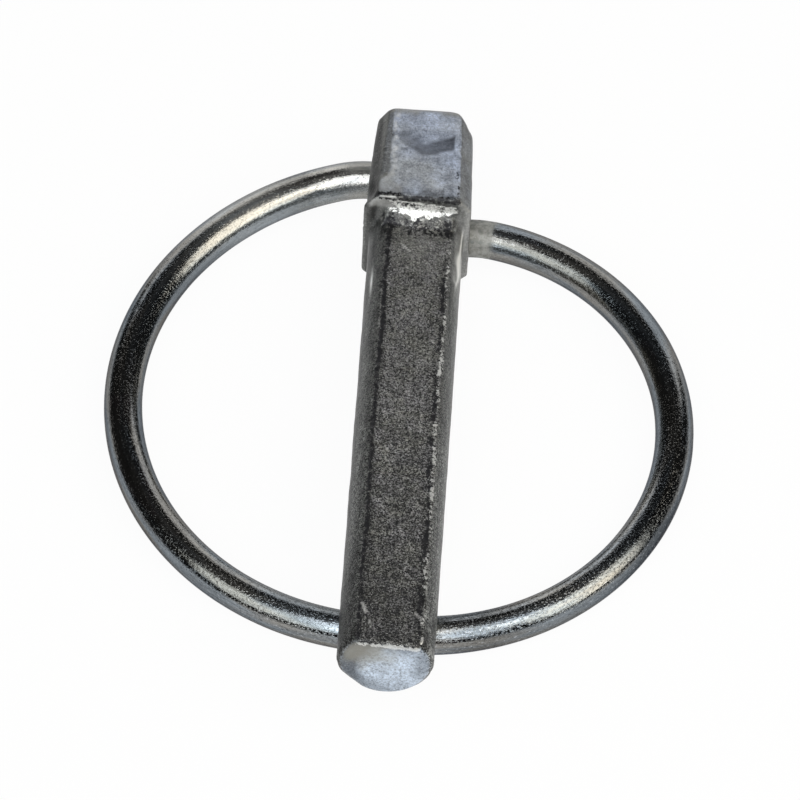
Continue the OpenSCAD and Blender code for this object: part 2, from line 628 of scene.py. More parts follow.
@dataclass(frozen=True)
class PlatedForging:
    """Zinc plate on a forged, tumbled surface, with painted highlights and shade; grain in
    millimetres.
    """

    name: str = "plated_forging"
    body: tuple[float, float, float] = (0.112, 0.115, 0.110)
    flat: tuple[float, float, float] = (0.156, 0.154, 0.158)
    rusty: tuple[float, float, float] = (0.146, 0.146, 0.134)
    face: tuple[float, float, float] = (0.315, 0.335, 0.365)
    face_cool: tuple[float, float, float] = (0.355, 0.40, 0.50)
    end: tuple[float, float, float] = (0.66, 0.75, 0.87)
    stain: tuple[float, float, float] = (0.30, 0.29, 0.25)
    # Painted shade in the dent.
    dent_shade: tuple[float, float, float] = (0.07, 0.078, 0.098)
    # The black of pits and blotches, and of painted shade in creases, hollows and seams.
    dark: tuple[float, float, float] = (0.03, 0.03, 0.033)
    # The white of specks, scratches and worn edges, and of painted highlights.
    highlight_and_wear: tuple[float, float, float] = (0.92, 0.92, 0.90)
    patch_size: float = 3.5
    rust_size: float = 2.2
    cloud_size: float = 1.7
    relief_size: float = 0.9
    blotch_size: float = 0.85
    spill_size: float = 0.50
    rolled_size: float = 0.45
    crease_shade_size: float = 0.40
    grit_size: float = 0.32
    fine_size: float = 0.20
    speck_size: float = 0.16
    relief_depth: float = 0.10
    grit_depth: float = 0.035

    def plate(
        self, d: Draft, p: bpy.types.NodeSocket, cloud: bpy.types.NodeSocket
    ) -> bpy.types.NodeSocket:
        """Gives the colour of the plate on the shank, the flat, the face and the end.

        Args:
            d: The finish being put together.
            p: The place on the piece.
            cloud: The coarse noise of the plate.

        Returns:
            The colour, shaded by its grain, and darker where shade is painted and where the skin is
            darker.
        """
        flat, end, head = d.mask(Mask.FLAT), d.mask(Mask.TIP_FACE), d.mask(Mask.HEAD)
        rust = d.grade(d.noise(p, self.rust_size, 3, 0.6), 0.40, 0.60)
        cool = d.calc("ADD", d.noise(p, self.patch_size, 1.5), d.times(d.mask(Mask.COOL), 0.28))
        skin = d.grade(cool, 0.42, 0.82)
        colour = d.coats(
            self.body,
            (flat, d.colour(rust, self.rusty, self.flat)),
            (d.mask(Mask.HEAD_FACE), d.colour(skin, self.face, self.face_cool)),
            (end, self.end),
        )
        clouds = d.calc("POWER", d.grade(cloud, 0.32, 0.68, 0.55, 1.30), d.fade(end, 1.0, 0.55))
        rolled = d.noise(d.stretched(p, (1, 0.12, 1)), self.rolled_size, 4, 0.6)
        plain = d.calc("MAXIMUM", head, end)
        lines = d.calc("POWER", d.grade(rolled, 0.36, 0.64, 0.60, 1.30), d.fade(plain, 1.0, 0.15))
        fine = d.grade(d.noise(p, self.fine_size, 2, 0.7), 0.43, 0.57, 0.25, 1.90)
        grain = d.calc("POWER", fine, d.mask(Mask.COARSE))
        # Painted shade and darker skin darken the colour here.
        shade_and_darkening = d.fade(d.mask(Mask.SHADE_AND_DARKENING), 1.0, 0.22)
        return d.shaded(colour, d.times(clouds, lines, grain, d.fade(head, 1.0, 1.30), shade_and_darkening))

    def holes(
        self, d: Draft, p: bpy.types.NodeSocket, grit: bpy.types.NodeSocket
    ) -> dict[str, bpy.types.NodeSocket]:
        """Gives the dark places of the skin.

        Args:
            d: The finish being put together.
            p: The place on the piece.
            grit: The fine noise of the skin.

        Returns:
            The pits, the blotches, the painted shade in the cracks and corners, and the thin lines
            of painted shade along the flat's edges.
        """
        open_skin = d.calc("MAXIMUM", d.mask(Mask.FLAT), d.times(d.mask(Mask.TIP_FACE), 0.25))
        blotches = d.grade(d.noise(p, self.blotch_size, 5, 0.75), 0.47, 0.38)
        frayed = d.noise(d.stretched(p, (1, 0.7, 1)), self.grit_size, 4, 0.7)
        return {
            "pits": d.times(d.grade(grit, 0.51, 0.39), d.fade(open_skin, 0.30, 0.95)),
            "blotches": d.times(blotches, d.grade(d.mask(Mask.COARSE), 0.7, 1.6, 0.0, 0.65)),
            "crease_shade": d.ragged(d.mask(Mask.CREVICE), d.noise(p, self.crease_shade_size, 4, 0.75), 4.5),
            "shaded_seams": d.line(d.mask(Mask.SEAM_SHADE), frayed),
        }

    def highlit(self, d: Draft, grit: bpy.types.NodeSocket) -> bpy.types.NodeSocket:
        """Gives edges worn pale and painted as highlights, less so on the head, in shade and at the
        end.

        Args:
            d: The finish being put together.
            grit: The fine noise of the skin.

        Returns:
            How strongly each edge is painted pale, from 0 to 1.
        """
        return d.times(
            d.mask(Mask.EDGE),
            d.fade(d.mask(Mask.HEAD), 0.40, 0.12),
            d.grade(d.mask(Mask.SHADE_AND_DARKENING), 0.0, 0.8, 1.0, 0.1),
            d.fade(d.mask(Mask.TIP_FACE), 1.0, 0.4),
            d.grade(grit, 0.42, 0.58, 0.0, 0.70),
        )

    def material(self) -> bpy.types.Material:
        """Builds the material.

        Returns:
            The material.
        """
        d = Draft(self.name)
        p = d.place()
        cloud = d.noise(p, self.cloud_size, 6, 0.62)
        grit = d.noise(p, self.grit_size, 4, 0.7)
        speck = d.noise(p, self.speck_size, 3, 0.65)
        spill = d.noise(d.stretched(p, (0.6, 1, 1)), self.spill_size, 4, 0.65)
        flat, step, shine = d.mask(Mask.FLAT), d.mask(Mask.STEP_HIGHLIGHT), d.mask(Mask.HIGHLIGHT)
        holes = self.holes(d, p, grit)
        colour = d.coats(
            self.plate(d, p, cloud),
            # Painted highlight: the torn band on the step under the head.
            (d.ragged(step, spill, 3.2), self.highlight_and_wear),
            (holes["pits"], self.dark),
            (holes["blotches"], self.dark),
            (d.times(d.grade(speck, 0.56, 0.70), d.fade(flat, 0.20, 0.45)), self.highlight_and_wear),
            # Painted shade in the dent.
            (d.times(d.mask(Mask.DENT), d.grade(grit, 0.35, 0.6, 0.75, 1.0)), self.dent_shade),
            (d.mask(Mask.STAIN), self.stain),
            # Painted highlights at the shoulder, with the paler upper flat and face edge.
            (shine, self.highlight_and_wear),
            # Painted shade in the cracks, under the lip and in the gutter.
            (holes["crease_shade"], self.dark),
            # Painted shade lines along the flat's edges.
            (holes["shaded_seams"], self.dark),
            # Painted highlight lines along the crests of the burrs.
            (d.times(d.line(d.mask(Mask.BURR), grit), 0.50), self.highlight_and_wear),
            # Edges worn pale and painted as highlights.
            (self.highlit(d, grit), self.highlight_and_wear),
            # Painted shade in the hollows.
            (d.times(d.mask(Mask.HOLLOW), 0.40), self.dark),
            (d.times(d.mask(Mask.SCRATCH), 0.50), self.highlight_and_wear),
        )
        rough = d.grade(d.calc("ADD", cloud, grit), 0.7, 1.3, 0.34, 0.52)
        rough = d.calc("ADD", rough, d.times(flat, 0.06))
        rough = d.calc("SUBTRACT", rough, d.times(step, 0.16))
        metal = d.fade(d.calc("MAXIMUM", d.mask(Mask.HEAD_FACE), flat), 0.85, 0.60)
        metal = d.calc("SUBTRACT", metal, d.times(d.calc("MAXIMUM", step, shine), 0.45))
        corners = d.calc("MAXIMUM", holes["crease_shade"], holes["shaded_seams"])
        dull = d.calc("MAXIMUM", corners, d.calc("ADD", holes["pits"], holes["blotches"]))
        relief = d.bump(d.noise(p, self.relief_size, 5, 0.65), self.relief_depth)
        return d.finish(
            Base_Color=colour,
            Metallic=d.calc("MAXIMUM", metal, d.times(dull, 0.9)),
            Roughness=rough,
            Specular_IOR_Level=d.grade(dull, 0.0, 0.9, 0.50, 0.03),
            Normal=d.bump(grit, self.grit_depth, relief),
        )


@dataclass(frozen=True)
class PlatedWire:
    """Bright zinc plate over drawn spring wire, with painted highlights and shade; grain in
    millimetres.
    """

    name: str = "plated_wire"
    body: tuple[float, float, float] = (0.305, 0.31, 0.315)
    cool: tuple[float, float, float] = (0.225, 0.28, 0.325)
    warm: tuple[float, float, float] = (0.37, 0.35, 0.305)
    spark: tuple[float, float, float] = (0.60, 0.62, 0.66)
    dull: tuple[float, float, float] = (0.22, 0.22, 0.20)
    frost: tuple[float, float, float] = (0.36, 0.36, 0.345)
    dark: tuple[float, float, float] = (0.05, 0.05, 0.055)
    brink: tuple[float, float, float] = (0.35, 0.35, 0.36)
    wave_size: float = 2.6
    tint_size: float = 1.4
    chalk_size: float = 0.7
    streak_size: float = 0.30
    grit_size: float = 0.20
    fleck_size: float = 0.18
    wave_depth: float = 0.05
    fleck_depth: float = 0.020
    streak_depth: float = 0.015
    grit_depth: float = 0.012

    def material(self) -> bpy.types.Material:
        """Builds the material.

        Returns:
            The material.
        """
        d = Draft(self.name)
        p = d.place()
        drawn = d.vector(d.mask(Mask.ROUND_X), d.mask(Mask.ROUND_Y), d.mask(Mask.ALONG))
        streak = d.noise(d.stretched(drawn, (1, 1, 0.06)), self.streak_size, 4, 0.6)
        tint = d.noise(d.stretched(drawn, (1, 1, 0.10)), self.tint_size, 2)
        grit = d.noise(d.stretched(drawn, (1, 1, 0.6)), self.grit_size, 3, 0.7)
        fleck = d.noise(d.stretched(drawn, (1, 1, 0.8)), self.fleck_size, 2, 0.6)
        chalk = d.noise(p, self.chalk_size, 5, 0.7)
        root, coarse = d.mask(Mask.ROOT), d.mask(Mask.COARSE)

        colour = d.colour(d.grade(tint, 0.42, 0.60), self.cool, self.warm)
        shade = d.times(
            d.grade(streak, 0.3, 0.7, 0.72, 1.15),
            # Painted shade: darker toward the wire's underside.
            d.grade(d.mask(Mask.ROUND_Y), 0.2, 1.5, 0.74, 1.0),
            d.fade(coarse, 0.84, 1.05),
            # Painted highlights brighten the colour and painted shade darkens it.
            d.fade(d.mask(Mask.HIGHLIGHT), 1.0, 1.9),
            d.fade(d.mask(Mask.SHADE_AND_DARKENING), 1.0, 0.25),
        )
        haze = d.times(root, d.grade(chalk, 0.30, 0.50, 0.35, 0.95))
        colour = d.coats(
            d.shaded(d.colour(0.5, colour, self.body), shade),
            (d.times(d.grade(grit, 0.46, 0.32), d.fade(coarse, 0.45, 0.7)), self.dark),
            (d.times(d.grade(grit, 0.58, 0.70), d.fade(coarse, 0.14, 0.6)), self.spark),
            (haze, d.colour(d.grade(chalk, 0.42, 0.58), self.dull, self.frost)),
        )
        rough = d.grade(d.calc("ADD", streak, grit), 0.7, 1.3, 0.05, 0.13)
        flecks = d.times(d.grade(fleck, 0.54, 0.74), d.fade(coarse, 0.60, 1.0))
        normal = d.bump(grit, self.grit_depth, d.bump(streak, self.streak_depth))
        normal = d.bump(flecks, self.fleck_depth, normal)
        return d.finish(
            Base_Color=colour,
            Metallic=d.fade(haze, 1.0, 0.30),
            Roughness=d.calc("ADD", rough, d.times(root, 0.40)),
            Normal=d.bump(d.noise(p, self.wave_size, 3), self.wave_depth, normal),
            Specular_Tint=(*self.brink, 1.0),
        )


@dataclass(frozen=True)
class ShankWear:
    """The shank's patches, with painted highlights and shade among them, in its own axes, in
    millimetres.

    A pair of numbers is a fade, from where it starts to where it is full. Only gutter_line and
    notch_line give a middle and a half width, and end_stain gives a place across and out, with
    its half sizes in end_stain_size.
    """

    top: Patch = Patch(1.0, fades=((Axis.UP, 0.3, -0.6),))
    near_head: Patch = Patch(1.0, fades=((Axis.UP, -9.0, -1.5),))
    front_half: Patch = Patch(1.0, fades=((Axis.OUT, -2.0, 0.5),))
    # Painted highlights at the shoulder, and the paler upper flat.
    gleam_x: float = 4.62
    gleam: Patch = Patch(1.0, fades=((Axis.UP, -10.0, -5.0), (Axis.UP, 0.1, -0.4)))
    gleam_swell: Patch = Patch(0.22, lines=((Axis.UP, -4.6, 1.6),))
    left_glint: Patch = Patch(1.0, lines=((Axis.ACROSS, -4.50, 0.10), (Axis.UP, -8.4, 1.4)))
    fillet: Patch = Patch(0.2, lines=((Axis.ACROSS, 5.05, 0.25), (Axis.UP, -0.3, 0.6)))
    right_cheek: Patch = Patch(
        0.12, fades=((Axis.ACROSS, 3.7, 4.2), (Axis.UP, -12.0, -7.0), (Axis.UP, 0.6, 0.3))
    )
    left_cheek: Patch = Patch(
        0.05, fades=((Axis.ACROSS, -3.9, -4.4), (Axis.UP, -4.0, -1.0), (Axis.UP, 0.6, 0.3))
    )
    left_ledge: Patch = Patch(
        0.35, fades=((Axis.OUT, 4.4, 5.0), (Axis.ACROSS, -2.2, -3.2), (Axis.UP, -0.6, -0.3))
    )
    right_band: Patch = Patch(0.42, lines=((Axis.ACROSS, 4.15, 0.35), (Axis.UP, -8.5, 2.5)))
    flat_top: Patch = Patch(
        0.075, fades=((Axis.UP, -9.0, -4.0),), lines=((Axis.ACROSS, 0.2, 3.4),)
    )
    burr_thins: Patch = Patch(0.15, fades=((Axis.UP, -36.0, -46.0),))
    seam_grows: Patch = Patch(0.15, fades=((Axis.UP, -40.0, -20.0),))
    crack_grows: Patch = Patch(0.5, lines=((Axis.UP, -13.0, 6.0),))
    # Painted shade below the step, in the gutter and in the notch.
    under_step_shade: Patch = Patch(1.0, fades=((Axis.UP, -0.9, -1.4), (Axis.UP, -3.8, -1.9)))
    gutter: Patch = Patch(0.75, fades=((Axis.UP, -3.6, -1.2), (Axis.UP, 0.3, 0.0)))
    gutter_line: tuple[float, float] = (3.7, 0.45)
    gutter_reach: tuple[float, float] = (4.2, 3.6)
    gutter_gap: Patch = Patch(0.8, lines=((Axis.ACROSS, -2.4, 1.2),))
    notch: Patch = Patch(
        0.75, fades=((Axis.UP, -0.6, -0.3),), lines=((Axis.ACROSS, -1.4, 1.5),)
    )
    notch_line: tuple[float, float] = (5.28, 0.30)
    # The torn band of painted highlight on the step.
    step_edge: tuple[float, float] = (-1.3, -0.6)
    step_foot: tuple[float, float] = (3.9, 4.4)
    step_brow: tuple[float, float] = (6.2, 5.8)
    step: Patch = Patch(
        1.0, fades=((Axis.UP, 0.15, -0.05), (Axis.ACROSS, -4.3, -1.9), (Axis.ACROSS, 4.2, 3.2))
    )
    step_tongue: Patch = Patch(0.60, lines=((Axis.ACROSS, 0.2, 1.8),))
    step_bays: tuple[Patch, ...] = (
        Patch(0.30, lines=((Axis.ACROSS, 3.2, 1.4),)),
        Patch(0.30, lines=((Axis.ACROSS, -3.4, 1.4),)),
    )
    coarse: Patch = Patch(1.1, fades=((Axis.UP, -8.0, -50.0),))
    # Painted shade on the flat just below the head.
    shade_below_head: Patch = Patch(0.35, fades=((Axis.UP, -5.5, -2.0),))
    flat_edges: tuple[float, float] = (1.6, 3.3)
    flat_low: Patch = Patch(0.55, fades=((Axis.UP, -25.0, -48.0),))
    flat_foot: Patch = Patch(
        0.22, fades=((Axis.UP, -48.0, -51.0),), lines=((Axis.ACROSS, 0.0, 4.0),)
    )
    flat_edges_clear: Patch = Patch(0.7, fades=((Axis.UP, -11.0, -6.0),))
    flank: Patch = Patch(0.8, fades=((Axis.ACROSS, -3.5, -4.0), (Axis.UP, -38.0, -50.0)))
    tip_darkening: tuple[float, float] = (-53.8, -56.2)
    tip_side: Patch = Patch(0.90, fades=((Axis.ACROSS, 4.4, 3.7),))
    # Painted shade on the left side below the head.
    left_shade: Patch = Patch(
        0.85, fades=((Axis.ACROSS, -4.1, -4.6),), lines=((Axis.UP, -3.4, 3.2),)
    )
    end_brim: tuple[float, float] = (3.28, 3.10)
    # Painted shade of the end, toward its border, its top and its right.
    end_border: tuple[float, float] = (1.5, 3.8)
    end_top: tuple[float, float] = (2.1, 2.9)
    end_right: tuple[float, float] = (2.4, 3.5)
    end_stain: tuple[float, float] = (-2.6, 1.9)
    end_stain_size: tuple[float, float] = (2.9, 2.1)


@dataclass(frozen=True)
class HeadWear:
    """The head's patches, with painted shade and stains among them, in its own axes, in
    millimetres.

    A pair of numbers is a fade, from where it starts to where it is full. Only rust_spot gives a
    place across and up, with its half sizes in rust_size.
    """

    face_left: float = -3.30
    face_right: float = 4.20
    face_widens: Patch = Patch(0.9, fades=((Axis.UP, 3.2, 2.2),))
    face_foot: Patch = Patch(1.0, fades=((Axis.UP, 0.0, 0.8),))
    facet: Patch = Patch(
        0.16, fades=((Axis.ACROSS, 3.8, 4.3), (Axis.OUT, 3.8, 5.0), (Axis.UP, 0.0, 1.0))
    )
    dent_end: Patch = Patch(1.0, fades=((Axis.ACROSS, 3.50, 3.25),))
    left_ledge_top: Patch = Patch(1.0, fades=((Axis.UP, 0.3, 0.1),))
    face_edge: Patch = Patch(0.45, fades=((Axis.UP, 1.5, 5.0), (Axis.UP, 12.4, 11.2)))
    lip_sags: Patch = Patch(0.35, fades=((Axis.ACROSS, -1.2, -2.8),))
    # Painted shade under the face's lip.
    lip: Patch = Patch(0.85, fades=((Axis.OUT, 5.9, 6.2),))
    under_lip: Patch = Patch(0.60, fades=((Axis.UP, 0.6, 0.2),), lines=((Axis.OUT, 6.2, 0.22),))
    chips: Patch = Patch(0.55, fades=((Axis.UP, 6.0, 4.0),))
    # Painted shade in the head's left corner and along its left side.
    corner: Patch = Patch(
        1.0, fades=((Axis.ACROSS, -4.1, -4.5), (Axis.OUT, 3.0, 4.4), (Axis.UP, -0.4, 0.3))
    )
    side: Patch = Patch(
        0.8,
        fades=(
            (Axis.ACROSS, -5.5, -5.25),
            (Axis.ACROSS, -4.5, -4.75),
            (Axis.OUT, 4.6, 3.6),
            (Axis.UP, 0.6, 0.3),
        ),
    )
    soft_corner: Patch = Patch(0.5, fades=((Axis.UP, -1.8, -0.6), (Axis.OUT, 3.2, 3.8)))
    waist: Patch = Patch(
        0.28,
        fades=((Axis.ACROSS, -4.4, -4.9), (Axis.OUT, 0.0, 1.5)),
        lines=((Axis.UP, 1.7, 1.1),),
    )
    hip: Patch = Patch(
        0.15,
        fades=((Axis.ACROSS, -4.4, -4.9), (Axis.OUT, 0.0, 1.5)),
        lines=((Axis.UP, 0.0, 0.5),),
    )
    crown_stain: tuple[float, float] = (11.5, 12.8)
    crown_darkening: tuple[float, float] = (11.4, 12.5)
    hem_darkening: tuple[float, float] = (1.6, 0.4)
    cool: tuple[float, float] = (2.5, 9.5)
    rust_spot: tuple[float, float] = (-3.5, 1.3)
    rust_size: tuple[float, float] = (1.9, 1.7)


@dataclass
class ForgedPin:
    """The forging: a head with two cross holes, and a shank with a flat.

    Sizes are in millimetres and turns in degrees. A hole gives its height and its depth. A relief
    gives the depth and the size of its grains, and where its own part of the grain starts.
    """

    node: str = "forged_pin"
    lie: Lie = field(default_factory=Lie)
    head_turn: float = 3.0
    shank_turn: float = 7.0
    shank_length: float = 57.5
    shank_radius: float = 5.0
    flat_height: float = 3.6
    face_height: float = 6.6
    head_height: float = 13.37
    bore_radius: float = 2.05
    low_bore: tuple[float, float] = (3.05, -3.0)
    high_bore: tuple[float, float] = (10.22, -2.34)
    dent_line: tuple[tuple[float, float], ...] = (
        (-2.0, 8.5),
        (-0.9, 7.7),
        (0.1, 6.95),
        (1.1, 7.25),
        (3.4, 8.1),
    )
    scratch_lines: tuple[tuple[tuple[float, float], tuple[float, float], float], ...] = (
        ((-3.1, -52.2), (-2.1, -55.0), 0.22),
        ((2.5, -53.2), (3.4, -54.1), 0.17),
        ((2.9, -52.7), (3.5, -53.4), 0.15),
        ((-1.7, -3.9), (-0.8, -4.8), 0.15),
    )
    roll_depth: float = 1.35
    roll_reach: tuple[float, float] = (4.6, 3.4)
    crown_reach: tuple[float, float] = (4.5, 1.5)
    skin_relief: tuple[float, float, float] = (0.030, 2.2, 0.0)
    flat_relief: tuple[float, float, float] = (0.035, 0.8, 40.0)
    face_relief: tuple[float, float, float] = (0.050, 3.5, 80.0)
    dent_depth: float = 0.16
    burr_height: float = 0.08
    crevice_depth: float = 0.12
    nick_depth: float = 0.16
    voxel: float = 0.19
    shank_wear: ShankWear = field(default_factory=ShankWear)
    head_wear: HeadWear = field(default_factory=HeadWear)
    finish: PlatedForging = field(default_factory=PlatedForging)

    def solid(self) -> Surface:
        """Remeshes the CAD solid in even, fine faces.

        Returns:
            The surface.
        """
        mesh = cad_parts[self.node].data.copy()
        rough = bpy.data.objects.new("rough_pin", mesh)
        bpy.context.scene.collection.objects.link(rough)
        remesh = rough.modifiers.new("even", "REMESH")
        remesh.mode = "VOXEL"
        remesh.voxel_size = self.voxel * MM
        shown = rough.evaluated_get(bpy.context.evaluated_depsgraph_get())
        fine = bpy.data.meshes.new_from_object(shown)
        points = np.zeros(3 * len(fine.vertices), np.float32)
        fine.vertices.foreach_get("co", points)
        faces = np.array([tuple(face.vertices) for face in fine.polygons])
        bpy.data.objects.remove(rough)
        bpy.data.meshes.remove(mesh)
        bpy.data.meshes.remove(fine)
        return Surface(points.reshape(-1, 3).astype(float) / MM, faces)

    def outside_bores(self, points: np.ndarray) -> np.ndarray:
        """Finds what lies clear of the cross holes and their rims.

        Args:
            points: The vertices in the frame.

        Returns:
            0 inside a hole and at its rim, rising to 1 half a millimetre away.
        """
        x, y, z = self.lie.to_pin(points, 0.0).T
        found = np.zeros(len(points))
        for side, (height, depth) in ((1.0, self.low_bore), (-1.0, self.high_bore)):
            away = np.hypot(y - height, z - depth)
            near = smooth_step(away, self.bore_radius + 0.6, self.bore_radius + 0.15)
            found = np.maximum(found, near * (side * x > 0.0))
        return 1.0 - found

    def roll(self, surface: Surface) -> None:
        """Fills the corner under the face with the soft roll that forging leaves.

        Args:
            surface: The surface, which is changed.
        """
        shank = self.lie.to_pin(surface.points, self.shank_turn)
        x, y, z = shank.T
        depth = self.roll_depth * (1.0 + 0.25 * Grain(41).rough(shank * (1, 0, 0), 2.6, 2))
        wanted = self.flat_height + self.roll_depth * 1.05 * (1.0 + y / depth)
        gap = np.clip(wanted - z, 0.0, None) * smooth_step(np.abs(x), *self.roll_reach)
        gap *= (y > -depth) & (y < 0.3) & (z > self.flat_height - 0.6)
        down, out = self.lie.to_frame(np.array([[0.0, -1, 0], [0, 0, 1]])) - self.lie.to_frame(
            np.zeros((1, 3))
        )
        surface.points = surface.points + (0.5 * gap[:, None]) * (down + out)

    def forge(self, surface: Surface) -> None:
        """Rounds the edges, marks the regions and works the skin.

        Args:
            surface: The surface, which is changed.
        """
        surface.relax(3, 0.5)
        surface.masks.update(PinMarks(self, surface.points).all())
        free = self.outside_bores(surface.points)
        head, wear = self.lie.to_pin(surface.points, self.head_turn), self.head_wear
        start, full = (self.head_height - below for below in self.crown_reach)
        surface.relax(10, 0.55 * smooth_step(head[:, Axis.UP], start, full) * free)
        self.roll(surface)
        surface.relax(6, wear.soft_corner.on(head) * free)
        self.roughen(surface, wear.waist.on(head) - wear.hip.on(head), free)

    def roughen(self, surface: Surface, waist: np.ndarray, free: np.ndarray) -> None:
        """Roughens the skin, and cuts the dent, the burrs and the nicks.

        Args:
            surface: The surface, which is changed.
            waist: How far the left side draws in, in millimetres.
            free: How far the skin may be worked, from 0 at the cross holes to 1.
        """
        marks, skin = surface.masks, Grain(11)
        lift = np.zeros(len(surface.points))
        for region, (depth, size, start) in (
            (1.0, self.skin_relief),
            (marks[Mask.FLAT], self.flat_relief),
            (marks[Mask.HEAD_FACE], self.face_relief),
        ):
            lift += depth * region * skin.rough(surface.points + start, size, 3)
        lift -= self.dent_depth * marks[Mask.DENT]
        lift += self.burr_height * marks[Mask.BURR]
        lift -= self.crevice_depth * marks[Mask.CREVICE]
        lift = (lift - waist) * free
        surface.points = surface.points + lift[:, None] * surface.normals()
        surface.mark_edges(1, 0.03)
        nicks = smooth_step(skin.rough(surface.points + 60.0, 1.2, 3), 0.1, 0.9)
        bite = self.nick_depth * surface.masks[Mask.EDGE] * nicks * free
        surface.points = surface.points - bite[:, None] * surface.normals()
        surface.relax(1, 0.25)
        surface.mark_edges(2, 0.022)
        surface.keep_in(self.node)

    def build(self) -> bpy.types.Object:
        """Builds and dresses the forging.

        Returns:
            The piece.
        """
        surface = self.solid()
        self.forge(surface)
        piece = surface.to_object("forged_pin_skin")
        piece.data.materials.append(self.finish.material())
        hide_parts(self.node)
        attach(piece, Body.PIN.value)
        return piece


